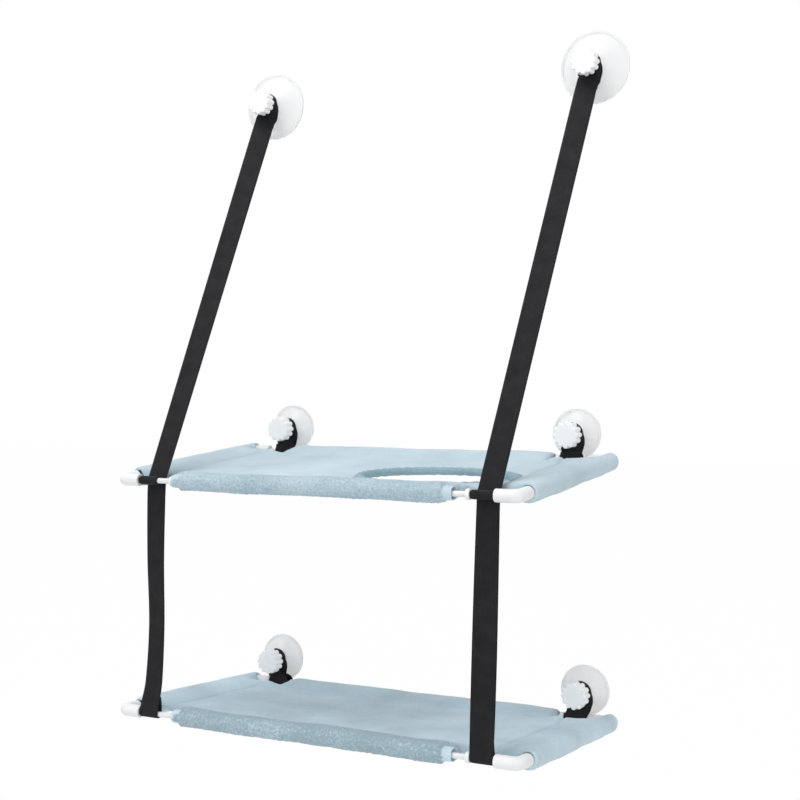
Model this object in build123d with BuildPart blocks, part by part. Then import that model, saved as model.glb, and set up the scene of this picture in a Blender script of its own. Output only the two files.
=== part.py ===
from build123d import *
import math
import os

os.makedirs("parts", exist_ok=True)

# A double deck window hammock for a cat. Six screw-down suction cups stick to
# the glass. Webbing straps hang two fleece covered decks from them, one above
# the other. X runs along the window, Y points at the glass and Z is up. The
# origin lies on the glass, midway between the two cups of the upper deck.

# Places on the glass. Cups are stuck on by hand: the top and the lower pair sit
# a little to one side, and the top right cup higher than the top left one.
top_cup_height = 411.7
top_cup_half_spacing = 214.0
top_cup_shift = -2.7
top_cup_tilt = 3.6
upper_cup_half_spacing = 190.5
lower_cup_half_spacing = 203.7
lower_cup_shift = -2.7
lower_cup_drop = 293.0

# Places of the rails
front_rail_reach = 283.0
rear_rail_reach = 21.0
upper_front_drop = 48.0
lower_front_drop = 304.0
rear_strap_drop = 28.6
corner_half_width = 237.0

# Suction cups
top_cup_radius = 41.0
small_cup_radius = 29.0
top_shoulder = 19.0
small_shoulder = 16.5
rim_bead_height = 2.2
rim_bead_width = 2.6
lip_thickness = 1.4
hollow_depth = 3.2
dome_height_share = 0.42
shoulder_radius = 12.6
shoulder_skirt = 4.0
neck_radius = 10.0
neck_length = 9.0
cup_edge_fillet = 0.6

# Studs and knobs
stud_radius = 3.5
stud_seat_depth = 9.0
stud_grip = 10.5
stud_tip_chamfer = 0.8
knob_core_radius = 13.0
knob_lobe_radius = 3.1
knob_lobe_offset = 12.1
knob_lobes = 12
knob_length = 14.0
knob_front_fillet = 1.6
knob_back_chamfer = 0.6
thread_clearance = 0.05
knob_gap = 0.25
insert_radius = 5.5
insert_length = 8.0
bore_overrun = 1.2

# Webbing
web_width = 25.0
web_thickness = 1.4
gathered_width = 8.4
loop_gap = 0.3
loop_foot = 15.2
loop_foot_height = 2.2
front_strap_half_spacing = 200.0
upper_rear_half_spacing = 191.0
lower_rear_half_spacing = 196.5
junction_setback = 13.0
end_lap = 18.0

# Rods, elbows and stop rings
rod_radius = 3.0
fit_clearance = 0.05
elbow_radius = 6.75
elbow_leg = 24.0
elbow_bend = 8.0
elbow_stop = 6.5
elbow_mouth_fillet = 0.8
ring_radius = 5.5
ring_width = 4.5
ring_gap = 0.5
ring_fillet = 0.7

# Fleece covers
crown_radius = 10.5
sleeve_bore_radius = 5.5
cloth_clearance = 0.3
seam_radius = 3.5
seam_lift = 0.5
end_sleeve_half_width = 166.0
end_seam_distance = 35.5
end_seam_drop = 0.9
side_seam_half_width = 198.0
side_sleeve_start = 25.0
side_sleeve_rear_gap = 34.6
corner_cap_reach = 9.0
corner_cap_radius = 11.3
corner_cap_overlap = 2.0
corner_pocket_clearance = 1.05
corner_pocket_overrun = 3.0
panel_sag = 3.0

# Way through for the cat
hole_centre_x = 105.0
hole_centre_along = 94.0
hole_half_width = 90.0
hole_half_depth = 54.0
binding_radius = 3.8
binding_clearance = 0.2
cut_overrun = 20.0


def glass_plane(x, z):
    """A plane on the glass, seen from the room, with its normal into the room."""
    return Plane(origin=(x, 0, z), x_dir=(1, 0, 0), z_dir=(0, -1, 0))


def turning_plane(x, z):
    """A plane through a cup's axis, with its y direction into the room."""
    return Plane(origin=(x, 0, z), x_dir=(1, 0, 0), z_dir=(0, 0, -1))


def deck_plane(front_z, rear_z):
    """The plane of a deck's rods, from the front rail's middle, y towards the glass."""
    run = front_rail_reach - rear_rail_reach
    rise = rear_z - front_z
    return Plane(
        origin=(0, -front_rail_reach, front_z), x_dir=(1, 0, 0), z_dir=(0, -rise, run)
    )


def across(deck, x, along, up=0):
    """A plane square to a rail: x is along the deck, y is up, the normal is +X."""
    spot = deck.from_local_coords(Vector(x, along, up))
    return Plane(origin=spot, x_dir=deck.y_dir, z_dir=deck.x_dir)


def facing_front(deck, x, along, up=0):
    """A plane square to a side rod: x is across, y is up, the normal is to the front."""
    spot = deck.from_local_coords(Vector(x, along, up))
    return Plane(origin=spot, x_dir=deck.x_dir, z_dir=-deck.y_dir)


def corner_plane(deck, side, along, inward):
    """A plane on a corner's axis, x towards the middle and y along the side rod."""
    spot = deck.from_local_coords(Vector(side * corner_half_width, along, 0))
    to_middle = deck.x_dir * -side
    to_side = deck.y_dir * inward
    return Plane(origin=spot, x_dir=to_middle, z_dir=to_middle.cross(to_side))


def circles_of(built, radius):
    """The round edges of a piece that have this radius."""
    rounds = built.edges().filter_by(GeomType.CIRCLE)
    return rounds.filter_by(lambda edge: math.isclose(edge.radius, radius))


sides = {"left": -1, "right": 1}
upper_rear_z = -rear_strap_drop
lower_rear_z = -lower_cup_drop - rear_strap_drop
decks = {
    "upper": deck_plane(-upper_front_drop, upper_rear_z),
    "lower": deck_plane(-lower_front_drop, lower_rear_z),
}
front_rail_z = {"upper": -upper_front_drop, "lower": -lower_front_drop}
rear_rail_z = {"upper": upper_rear_z, "lower": lower_rear_z}
rear_strap_x = {"upper": upper_rear_half_spacing, "lower": lower_rear_half_spacing}
deck_depth = {
    name: math.hypot(
        front_rail_reach - rear_rail_reach, rear_rail_z[name] - front_rail_z[name]
    )
    for name in decks
}

# Rows of cups: radius and shoulder height.
cup_rows = {
    "top": (top_cup_radius, top_shoulder),
    "upper": (small_cup_radius, small_shoulder),
    "lower": (small_cup_radius, small_shoulder),
}

# Middles of the cups on the glass: x and height.
cup_spots = {
    "top_left": (top_cup_shift - top_cup_half_spacing, top_cup_height - top_cup_tilt),
    "top_right": (top_cup_shift + top_cup_half_spacing, top_cup_height + top_cup_tilt),
    "upper_left": (-upper_cup_half_spacing, 0),
    "upper_right": (upper_cup_half_spacing, 0),
    "lower_left": (lower_cup_shift - lower_cup_half_spacing, -lower_cup_drop),
    "lower_right": (lower_cup_shift + lower_cup_half_spacing, -lower_cup_drop),
}

for row, (radius, shoulder) in cup_rows.items():
    neck_end = shoulder + neck_length
    stud_foot = neck_end - stud_seat_depth
    for side_name in sides:
        place = f"{row}_{side_name}"
        cup_x, height = cup_spots[place]
        cup_axis = Axis((cup_x, 0, height), (0, -1, 0))

        # Soft clear cup: a shallow dome with a beaded rim and a round neck, which
        # the strap's loop goes round. The middle of its underside is hollow.
        with BuildPart() as cup:
            with BuildSketch(turning_plane(cup_x, height)):
                with BuildLine():
                    bead_in = radius - rim_bead_width
                    skirt_foot = shoulder - shoulder_skirt
                    Polyline(
                        (stud_radius + thread_clearance, neck_end),
                        (neck_radius, neck_end),
                        (neck_radius, shoulder),
                        (shoulder_radius, shoulder),
                        (shoulder_radius, skirt_foot),
                    )
                    dome_mid = ((shoulder_radius + bead_in) / 2, skirt_foot * dome_height_share)
                    ThreePointArc((shoulder_radius, skirt_foot), dome_mid, (bead_in, lip_thickness))
                    Polyline(
                        (bead_in, lip_thickness),
                        (bead_in, rim_bead_height),
                        (radius, rim_bead_height),
                        (radius, 0),
                        (bead_in, 0),
                    )
                    TangentArc((0, hollow_depth), (bead_in, 0), tangent=(1, 0))
                    Polyline(
                        (0, hollow_depth),
                        (0, stud_foot),
                        (stud_radius + thread_clearance, stud_foot),
                        (stud_radius + thread_clearance, neck_end),
                    )
                make_face()
            revolve(axis=cup_axis)
            rim = circles_of(cup, radius)
            fillet(rim, radius=cup_edge_fillet)
        cup.part.label = f"suction_cup_{place}"
        export_step(cup.part, f"parts/suction_cup_{place}.step")

        # Threaded stud: seated in the cup's neck, it stands out for the knob.
        with BuildPart() as stud:
            with BuildSketch(glass_plane(cup_x, height).offset(stud_foot)):
                Circle(stud_radius)
            extrude(amount=stud_seat_depth + stud_grip)
            tip = stud.faces().sort_by(Axis.Y)[0].edges()
            chamfer(tip, length=stud_tip_chamfer)
        stud.part.label = f"cup_stud_{place}"
        export_step(stud.part, f"parts/cup_stud_{place}.step")

        # Screw knob: round lobes for the fingers and a blind bore. The threaded
        # insert sits in its mouth, and the stud's tip has room past the insert.
        knob_back = glass_plane(cup_x, height).offset(neck_end + knob_gap)
        with BuildPart() as knob:
            with BuildSketch(knob_back):
                Circle(knob_core_radius)
                with PolarLocations(knob_lobe_offset, knob_lobes):
                    Circle(knob_lobe_radius)
            extrude(amount=knob_length)
            fillet(knob.faces().sort_by(Axis.Y)[0].edges(), radius=knob_front_fillet)
            chamfer(knob.faces().sort_by(Axis.Y)[-1].edges(), length=knob_back_chamfer)
            with BuildSketch(knob_back):
                Circle(insert_radius + thread_clearance)
            extrude(amount=stud_grip - knob_gap + bore_overrun, mode=Mode.SUBTRACT)
        knob.part.label = f"cup_knob_{place}"
        export_step(knob.part, f"parts/cup_knob_{place}.step")

        # Insert: the metal sleeve in the knob that runs on the stud's thread.
        with BuildPart() as insert:
            with BuildSketch(knob_back):
                Circle(insert_radius)
                Circle(stud_radius + thread_clearance, mode=Mode.SUBTRACT)
            extrude(amount=insert_length)
        insert.part.label = f"knob_insert_{place}"
        export_step(insert.part, f"parts/knob_insert_{place}.step")

# Rods: two rails and two side rods in each deck, pushed into the elbows.
rod_end = elbow_stop + fit_clearance
for deck_name, deck in decks.items():
    depth = deck_depth[deck_name]
    for rail_name, along in {"front": 0, "rear": depth}.items():
        with BuildPart() as rail:
            with BuildSketch(across(deck, -corner_half_width + rod_end, along)):
                Circle(rod_radius)
            extrude(amount=2 * (corner_half_width - rod_end))
        rail.part.label = f"{deck_name}_{rail_name}_rail"
        export_step(rail.part, f"parts/{deck_name}_{rail_name}_rail.step")

    for side_name, side in sides.items():
        with BuildPart() as side_rod:
            with BuildSketch(facing_front(deck, side * corner_half_width, depth - rod_end)):
                Circle(rod_radius)
            extrude(amount=depth - 2 * rod_end)
        side_rod.part.label = f"{deck_name}_{side_name}_rod"
        export_step(side_rod.part, f"parts/{deck_name}_{side_name}_rod.step")

        # Elbows: a moulded right angle with a blind socket for each rod.
        for end_name, along, inward in (("front", 0, 1), ("rear", depth, -1)):
            corner = corner_plane(deck, side, along, inward)
            with BuildPart() as elbow:
                with BuildLine(corner) as bend:
                    FilletPolyline((elbow_leg, 0), (0, 0), (0, elbow_leg), radius=elbow_bend)
                mouths = [
                    Plane(origin=bend.line @ 0, z_dir=-(bend.line % 0)),
                    Plane(origin=bend.line @ 1, z_dir=bend.line % 1),
                ]
                with BuildSketch(mouths[0]):
                    Circle(elbow_radius)
                sweep(path=bend.line)
                rims = elbow.edges().filter_by(GeomType.CIRCLE).sort_by_distance(corner.origin)
                fillet([rims[-1], rims[-2]], radius=elbow_mouth_fillet)
                for mouth in mouths:
                    with BuildSketch(mouth):
                        Circle(rod_radius + fit_clearance)
                    extrude(amount=elbow_stop - elbow_leg, mode=Mode.SUBTRACT)
            elbow.part.label = f"{deck_name}_{end_name}_{side_name}_elbow"
            export_step(elbow.part, f"parts/{elbow.part.label}.step")

# Stop rings: a collar on the rail at each strap's inner side. At the left of
# the front rails they have slid along to the cover's sleeve.
slid_ring_x = {
    "upper": end_sleeve_half_width + ring_gap + ring_width / 2,
    "lower": end_sleeve_half_width - ring_gap - ring_width / 2,
}
for deck_name, deck in decks.items():
    front_x = front_strap_half_spacing - web_width / 2 - ring_gap - ring_width / 2
    rear_x = rear_strap_x[deck_name] - web_width / 2 - ring_gap - ring_width / 2
    ring_places = {
        "front": (0, -slid_ring_x[deck_name], front_x),
        "rear": (deck_depth[deck_name], -rear_x, rear_x),
    }
    for rail_name, (along, *middles) in ring_places.items():
        with BuildPart() as rings:
            for middle in middles:
                with BuildSketch(across(deck, middle - ring_width / 2, along)):
                    Circle(ring_radius)
                    Circle(rod_radius + fit_clearance, mode=Mode.SUBTRACT)
                extrude(amount=ring_width)
            fillet(circles_of(rings, ring_radius), radius=ring_fillet)
        rings.part.label = f"{deck_name}_{rail_name}_stop_rings"
        export_step(rings.part, f"parts/{deck_name}_{rail_name}_stop_rings.step")


def sleeve_section(reach, lift):
    """A sleeve's outline: round over its rod and flat from there to its seam."""
    Circle(crown_radius)
    with Locations((reach, lift)):
        Circle(seam_radius)
    make_hull()


# Covers: one piece of fleece a deck, with a sleeve round each rod and a notch
# at each corner, where the straps are. The taut cloth draws each sleeve
# inwards, so its rod lies at the outer side of its bore. The rear sleeve
# reaches the stop rings, and the side sleeves run on over the rear elbows.
bore_shift = sleeve_bore_radius - rod_radius - cloth_clearance
binding_seat = binding_radius + binding_clearance
panel_top = seam_lift + seam_radius
panel_bottom = seam_lift - seam_radius
pocket_leg = elbow_leg + corner_pocket_overrun
for deck_name, deck in decks.items():
    depth = deck_depth[deck_name]
    side_end = depth - side_sleeve_rear_gap
    rear_ring_inner = rear_strap_x[deck_name] - web_width / 2 - ring_gap - ring_width
    end_sleeves = (
        (0, 1, end_sleeve_half_width),
        (depth, -1, rear_ring_inner - ring_gap),
    )
    with BuildPart() as cover:
        with BuildSketch(facing_front(deck, 0, side_end)):
            with BuildLine():
                top = ThreePointArc(
                    (-side_seam_half_width, panel_top),
                    (0, panel_top - panel_sag),
                    (side_seam_half_width, panel_top),
                )
                bottom = ThreePointArc(
                    (-side_seam_half_width, panel_bottom),
                    (0, panel_bottom - panel_sag),
                    (side_seam_half_width, panel_bottom),
                )
                Line(top @ 0, bottom @ 0)
                Line(top @ 1, bottom @ 1)
            make_face()
        extrude(amount=side_end - side_sleeve_start)
        for along, inward, half_width in end_sleeves:
            with BuildSketch(across(deck, -half_width, along)):
                sleeve_section(inward * end_seam_distance, seam_lift - end_seam_drop)
            extrude(amount=2 * half_width)
        for side in sides.values():
            with BuildSketch(facing_front(deck, side * corner_half_width, side_end)):
                sleeve_section(side * (side_seam_half_width - corner_half_width), seam_lift)
            extrude(amount=side_end - side_sleeve_start)
            with BuildSketch(facing_front(deck, side * corner_half_width, depth + corner_cap_reach)):
                Circle(corner_cap_radius)
            extrude(amount=corner_cap_reach + side_sleeve_rear_gap + corner_cap_overlap)
        for along, inward, half_width in end_sleeves:
            with BuildSketch(across(deck, -half_width, along + inward * bore_shift)):
                Circle(sleeve_bore_radius)
            extrude(amount=2 * half_width, mode=Mode.SUBTRACT)
        for side in sides.values():
            bore_x = side * (corner_half_width - bore_shift)
            with BuildSketch(facing_front(deck, bore_x, depth - elbow_leg)):
                Circle(sleeve_bore_radius)
            extrude(amount=depth - elbow_leg - side_sleeve_start, mode=Mode.SUBTRACT)
            # Pocket round the rear elbow, open to the middle for the rail. It is
            # wider than the bore, which ends inside it.
            with BuildLine(corner_plane(deck, side, depth, -1)) as pocket:
                FilletPolyline((pocket_leg, 0), (0, 0), (0, pocket_leg), radius=elbow_bend)
            with BuildSketch(Plane(origin=pocket.line @ 0, z_dir=-(pocket.line % 0))):
                Circle(elbow_radius + corner_pocket_clearance)
            sweep(path=pocket.line, mode=Mode.SUBTRACT)
        if deck_name == "lower":
            # Mouth of the sleeve that one stop ring has slid into.
            with BuildSketch(across(deck, -end_sleeve_half_width, 0)):
                Circle(ring_radius + cloth_clearance)
            extrude(amount=ring_width + 2 * ring_gap, mode=Mode.SUBTRACT)
        if deck_name == "upper":
            hole_middle = Vector(hole_centre_x, hole_centre_along, -cut_overrun)
            hole_plane = Plane(
                origin=deck.from_local_coords(hole_middle), x_dir=deck.x_dir, z_dir=deck.z_dir
            )
            with BuildSketch(hole_plane):
                Ellipse(hole_half_width + binding_seat, hole_half_depth + binding_seat)
            extrude(amount=2 * cut_overrun, mode=Mode.SUBTRACT)
    cover.part.label = f"{deck_name}_cover"
    export_step(cover.part, f"parts/{deck_name}_cover.step")

# Rolled binding of the cat's hole, a soft round welt sewn all the way round.
upper = decks["upper"]
welt_middle = Vector(hole_centre_x, hole_centre_along, seam_lift - end_seam_drop)
welt_plane = Plane(
    origin=upper.from_local_coords(welt_middle), x_dir=upper.x_dir, z_dir=upper.z_dir
)
with BuildPart() as binding:
    with BuildLine(welt_plane) as welt_line:
        EllipticalCenterArc((0, 0), hole_half_width, hole_half_depth, arc_size=360)
    with BuildSketch(Plane(origin=welt_line.line @ 0, z_dir=welt_line.line % 0)):
        Circle(binding_radius)
    sweep(path=welt_line.line)
binding.part.label = "upper_hole_binding"
export_step(binding.part, "parts/upper_hole_binding.step")


def loop_outline(reach, outer):
    """Half round over the neck with straight legs down to a foot."""
    Polyline((-outer, 0), (-outer, -reach), (outer, -reach), (outer, 0))
    ThreePointArc((outer, 0), (0, outer), (-outer, 0))


# Webbing loops at the cups and round the rails. The webbing of a loop stands
# on edge and is gathered to the width of the neck.
inner_loop = neck_radius + loop_gap
outer_loop = inner_loop + web_thickness
loop_foot_end = loop_foot + loop_foot_height
rail_loop_inner = rod_radius + loop_gap
rail_loop_outer = rail_loop_inner + web_thickness

# Rear straps: a loop on the cup's neck, a short doubled run and a loop that
# the rear rail turns in.
for deck_name in decks:
    radius, shoulder = cup_rows[deck_name]
    gather_start = shoulder + (neck_length - gathered_width) / 2
    for side_name, side in sides.items():
        cup_x, height = cup_spots[f"{deck_name}_{side_name}"]
        rail_x = side * rear_strap_x[deck_name]
        strap_y = -(gather_start + gathered_width / 2)
        rail_spot = (rail_x - web_width / 2, -rear_rail_reach, rear_rail_z[deck_name])
        rail_section = Plane(origin=rail_spot, x_dir=(0, 1, 0), z_dir=(1, 0, 0))
        foot_z = height - loop_foot_end
        top_spot = Plane(origin=(cup_x, strap_y, foot_z), x_dir=(1, 0, 0), z_dir=(0, 0, 1))
        rail_top = rear_rail_z[deck_name] + rail_loop_inner
        bottom_spot = Plane(
            origin=(rail_x, -rear_rail_reach, rail_top), x_dir=(1, 0, 0), z_dir=(0, 0, 1)
        )
        with BuildPart() as rear_strap:
            with BuildSketch(glass_plane(cup_x, height).offset(gather_start)):
                with BuildLine():
                    loop_outline(loop_foot_end, outer_loop)
                make_face()
                with BuildLine():
                    loop_outline(loop_foot, inner_loop)
                make_face(mode=Mode.SUBTRACT)
            extrude(amount=gathered_width)
            with BuildSketch(top_spot):
                Rectangle(2 * outer_loop, 2 * web_thickness)
            with BuildSketch(bottom_spot):
                Rectangle(web_width, 2 * web_thickness)
            loft()
            with BuildSketch(rail_section):
                Circle(rail_loop_outer)
            extrude(amount=web_width)
            with BuildSketch(rail_section):
                Circle(rail_loop_inner)
            extrude(amount=web_width, mode=Mode.SUBTRACT)
        rear_strap.part.label = f"rear_strap_{deck_name}_{side_name}"
        export_step(rear_strap.part, f"parts/rear_strap_{deck_name}_{side_name}.step")

# Front straps: one length of webbing a side, from the top cup down behind the
# upper front rail to the lower one. It is made as two runs, which meet where a
# sewn tab holds the upper rail.
top_gather = top_shoulder + (neck_length - gathered_width) / 2
top_strap_y = -(top_gather + gathered_width / 2)
junction_y = -front_rail_reach + junction_setback
junction_z = -upper_front_drop
for side_name, side in sides.items():
    cup_x, cup_z = cup_spots[f"top_{side_name}"]
    strap_x = side * front_strap_half_spacing
    foot_z = cup_z - loop_foot_end
    run_top = Vector(cup_x, top_strap_y, foot_z)
    junction = Vector(strap_x, junction_y, junction_z)
    run = run_top - junction
    width_way = Vector(run.Z, 0, -run.X).normalized()
    run_plane = Plane(origin=junction, x_dir=width_way, z_dir=run)
    with BuildPart() as upper_run:
        with BuildSketch(glass_plane(cup_x, cup_z).offset(top_gather)):
            with BuildLine():
                loop_outline(loop_foot_end, outer_loop)
            make_face()
            with BuildLine():
                loop_outline(loop_foot, inner_loop)
            make_face(mode=Mode.SUBTRACT)
        extrude(amount=gathered_width)
        with BuildSketch(run_plane):
            Rectangle(web_width, web_thickness)
        extrude(amount=run.length)
    upper_run.part.label = f"front_strap_{side_name}_upper"
    export_step(upper_run.part, f"parts/front_strap_{side_name}_upper.step")

    # The lower run comes down in front of the lower rail, goes round it and is
    # sewn to itself behind.
    rail_front = -front_rail_reach - rail_loop_inner - web_thickness / 2
    drop_end = Vector(strap_x, rail_front, -lower_front_drop)
    drop = drop_end - junction - Vector(0, 0, web_thickness)
    start = junction + drop.normalized() * web_thickness
    drop_plane = Plane(origin=start, x_dir=(1, 0, 0), z_dir=drop)
    lap_top = drop_end - drop.normalized() * (end_lap + rail_loop_inner)
    lap_plane = Plane(origin=lap_top, x_dir=(1, 0, 0), z_dir=drop)
    loop_spot = (strap_x - web_width / 2, -front_rail_reach, -lower_front_drop)
    loop_section = Plane(origin=loop_spot, x_dir=(0, 1, 0), z_dir=(1, 0, 0))
    with BuildPart() as lower_run:
        with BuildSketch(drop_plane):
            Rectangle(web_width, web_thickness)
        extrude(amount=drop.length - web_thickness)
        with BuildSketch(lap_plane):
            with Locations((0, -web_thickness / 2)):
                Rectangle(web_width, 2 * web_thickness)
        extrude(amount=end_lap)
        with BuildSketch(loop_section):
            Circle(rail_loop_outer)
        extrude(amount=web_width)
        with BuildSketch(loop_section):
            Circle(rail_loop_inner)
        extrude(amount=web_width, mode=Mode.SUBTRACT)
    lower_run.part.label = f"front_strap_{side_name}_lower"
    export_step(lower_run.part, f"parts/front_strap_{side_name}_lower.step")

    # Tab: a doubled band sewn to the strap, with the upper front rail in its eye.
    tab_spot = (strap_x - web_width / 2, -front_rail_reach, -upper_front_drop)
    tab_section = Plane(origin=tab_spot, x_dir=(0, 1, 0), z_dir=(1, 0, 0))
    tab_tail = junction_setback - web_thickness
    with BuildPart() as tab:
        with BuildSketch(tab_section):
            Circle(rail_loop_outer)
            with Locations((tab_tail / 2, 0)):
                Rectangle(tab_tail, 2 * web_thickness)
            Circle(rail_loop_inner, mode=Mode.SUBTRACT)
        extrude(amount=web_width)
    tab.part.label = f"front_tab_{side_name}"
    export_step(tab.part, f"parts/front_tab_{side_name}.step")
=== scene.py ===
import math
import bmesh
import bpy
import numpy as np
from mathutils import Matrix, Vector


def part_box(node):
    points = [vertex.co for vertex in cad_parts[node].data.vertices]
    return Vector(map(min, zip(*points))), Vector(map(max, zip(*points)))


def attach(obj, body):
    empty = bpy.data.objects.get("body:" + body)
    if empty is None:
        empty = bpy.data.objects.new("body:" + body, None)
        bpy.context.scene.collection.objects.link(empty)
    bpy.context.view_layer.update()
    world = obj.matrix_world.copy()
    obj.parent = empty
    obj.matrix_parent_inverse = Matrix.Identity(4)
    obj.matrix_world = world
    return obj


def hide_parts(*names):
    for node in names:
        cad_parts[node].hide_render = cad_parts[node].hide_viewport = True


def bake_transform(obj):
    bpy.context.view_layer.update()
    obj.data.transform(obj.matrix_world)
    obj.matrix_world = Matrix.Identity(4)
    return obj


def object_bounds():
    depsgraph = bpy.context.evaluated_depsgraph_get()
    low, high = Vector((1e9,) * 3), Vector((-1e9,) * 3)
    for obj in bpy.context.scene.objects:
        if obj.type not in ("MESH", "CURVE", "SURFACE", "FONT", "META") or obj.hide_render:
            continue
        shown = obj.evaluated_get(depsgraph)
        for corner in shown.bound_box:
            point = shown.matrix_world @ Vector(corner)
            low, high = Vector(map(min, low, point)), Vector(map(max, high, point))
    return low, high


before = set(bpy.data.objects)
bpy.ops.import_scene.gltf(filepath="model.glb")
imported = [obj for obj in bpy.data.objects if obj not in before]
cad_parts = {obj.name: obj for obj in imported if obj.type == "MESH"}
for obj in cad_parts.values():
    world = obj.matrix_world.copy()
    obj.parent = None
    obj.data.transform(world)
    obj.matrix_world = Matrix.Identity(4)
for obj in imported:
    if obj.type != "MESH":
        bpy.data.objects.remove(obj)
cad_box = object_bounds()

# Camera: where the photograph was taken from, to the right of the hammock and
# level with the middle of it, looking a little down.
mm = 0.001
camera_place = Vector((755.4, -1513.3, 68.1)) * mm
camera_turn = math.radians(27.69)
camera_dip = math.radians(1.05)
camera_lens = 63.05
upright = math.radians(90)

camera_data = bpy.data.cameras.new("camera")
camera_data.lens = camera_lens
camera = bpy.data.objects.new("camera", camera_data)
camera.location = camera_place
camera.rotation_euler = (upright - camera_dip, 0, camera_turn)
bpy.context.scene.collection.objects.link(camera)
bpy.context.scene.camera = camera
bpy.context.scene.view_settings.view_transform = "Standard"


# Studio: a pale floor well below the hammock, a pale surround and large soft
# lamps from above, from the front and from the left.
floor_drop = 0.26
floor_half = 9.0
floor_tone = (0.86, 0.86, 0.86, 1)
plain_white = (1, 1, 1, 1)
surround_light = 0.66
seen_floor_share = 0.985
lamps = {
    "top_lamp": ((-0.5, -0.7, 2.3), 1.8, 30),
    "front_lamp": ((-0.2, -2.6, 0.5), 2.4, 12),
    "right_lamp": ((2.1, -1.4, 0.2), 1.8, 9),
}
lamp_target = Vector((0, -0.15, 0))


def node(tree, kind, inputs=None, **settings):
    """Adds a node. Settings are its properties, and inputs are sockets to link or plain values."""
    made = tree.nodes.new(kind)
    for name, value in settings.items():
        setattr(made, name, value)
    for name, value in (inputs or {}).items():
        if isinstance(value, bpy.types.NodeSocket):
            tree.links.new(value, made.inputs[name])
        else:
            made.inputs[name].default_value = value
    return made


def seen_ray(tree):
    """One where a ray comes from the camera, a reflection or clear plastic, and zero elsewhere."""
    path = node(tree, "ShaderNodeLightPath")
    seen = node(
        tree, "ShaderNodeMath",
        {0: path.outputs["Is Camera Ray"], 1: path.outputs["Is Glossy Ray"]},
        operation="ADD",
    )
    return node(
        tree, "ShaderNodeMath",
        {0: seen.outputs[0], 1: path.outputs["Is Transmission Ray"]},
        operation="ADD", use_clamp=True,
    ).outputs[0]


world = bpy.data.worlds.new("surround")
world.use_nodes = True
world_tree = world.node_tree
seen_strength = node(
    world_tree, "ShaderNodeMapRange",
    {"Value": seen_ray(world_tree), "To Min": surround_light, "To Max": 1.0},
)
surround = world_tree.nodes["Background"]
surround.inputs["Color"].default_value = plain_white
world_tree.links.new(seen_strength.outputs["Result"], surround.inputs["Strength"])
bpy.context.scene.world = world

floor_mesh = bpy.data.meshes.new("floor")
floor_level = cad_box[0].z - floor_drop
floor_mesh.from_pydata(
    [(x * floor_half, y * floor_half, floor_level) for x, y in ((-1, -1), (1, -1), (1, 1), (-1, 1))],
    [], [(0, 1, 2, 3)],
)
floor = bpy.data.objects.new("floor", floor_mesh)
bpy.context.scene.collection.objects.link(floor)
floor_finish = bpy.data.materials.new("floor_finish")
floor_finish.use_nodes = True
floor_tree = floor_finish.node_tree
floor_tree.nodes.clear()
paint = node(floor_tree, "ShaderNodeBsdfDiffuse", {"Color": floor_tone})
glow = node(floor_tree, "ShaderNodeEmission", {"Color": plain_white, "Strength": 1.0})
glow_share = node(
    floor_tree, "ShaderNodeMath", {0: seen_ray(floor_tree), 1: seen_floor_share}, operation="MULTIPLY"
)
blended = node(
    floor_tree, "ShaderNodeMixShader",
    {0: glow_share.outputs[0], 1: paint.outputs[0], 2: glow.outputs[0]},
)
node(floor_tree, "ShaderNodeOutputMaterial", {"Surface": blended.outputs[0]})
floor_mesh.materials.append(floor_finish)

for lamp_name, (place, size, power) in lamps.items():
    lamp_data = bpy.data.lights.new(lamp_name, "AREA")
    lamp_data.shape = "DISK"
    lamp_data.size = size
    lamp_data.energy = power
    lamp = bpy.data.objects.new(lamp_name, lamp_data)
    lamp.location = place
    lamp.rotation_mode = "QUATERNION"
    lamp.rotation_quaternion = (lamp_target - Vector(place)).to_track_quat("-Z", "Y")
    bpy.context.scene.collection.objects.link(lamp)


# Suction cups: soft clear vinyl, moulded in one piece with the neck. The thick
# neck looks milky, the thin dome almost vanishes and the beaded rim shows grey.
cup_tint = (0.965, 0.97, 0.975, 1)
cup_haze = (0.985, 0.985, 0.99, 1)
rows = ("top", "upper", "lower")
hands = {"left": -1, "right": 1}
cup_places = [f"{row}_{hand}" for row in rows for hand in hands]


def new_group(name, inputs, outputs):
    """A shader node group with named sockets, as (tree, its input sockets, its output sockets)."""
    tree = bpy.data.node_groups.new(name, "ShaderNodeTree")
    for socket, (kind, value) in inputs.items():
        made = tree.interface.new_socket(socket, in_out="INPUT", socket_type=kind)
        if value is not None:
            made.default_value = value
    for socket, kind in outputs.items():
        tree.interface.new_socket(socket, in_out="OUTPUT", socket_type=kind)
    return tree, tree.nodes.new("NodeGroupInput").outputs, tree.nodes.new("NodeGroupOutput").inputs


def finish_of(name, color, roughness, **sockets):
    """A material with a Principled shader, as (material, its tree, its shader)."""
    made = bpy.data.materials.new(name)
    made.use_nodes = True
    shader = made.node_tree.nodes["Principled BSDF"]
    shader.inputs["Base Color"].default_value = color
    shader.inputs["Roughness"].default_value = roughness
    for socket, value in sockets.items():
        shader.inputs[socket.replace("_", " ")].default_value = value
    return made, made.node_tree, shader


def use_group(tree, group, inputs):
    """Places a node group in a material, with its own values."""
    made = node(tree, "ShaderNodeGroup", node_tree=group)
    for name, value in inputs.items():
        if isinstance(value, bpy.types.NodeSocket):
            tree.links.new(value, made.inputs[name])
        else:
            made.inputs[name].default_value = value
    return made.outputs


def dress(node_names, material):
    """Gives CAD nodes this material."""
    for name in node_names:
        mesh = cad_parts[name].data
        mesh.materials.clear()
        mesh.materials.append(material)


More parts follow.
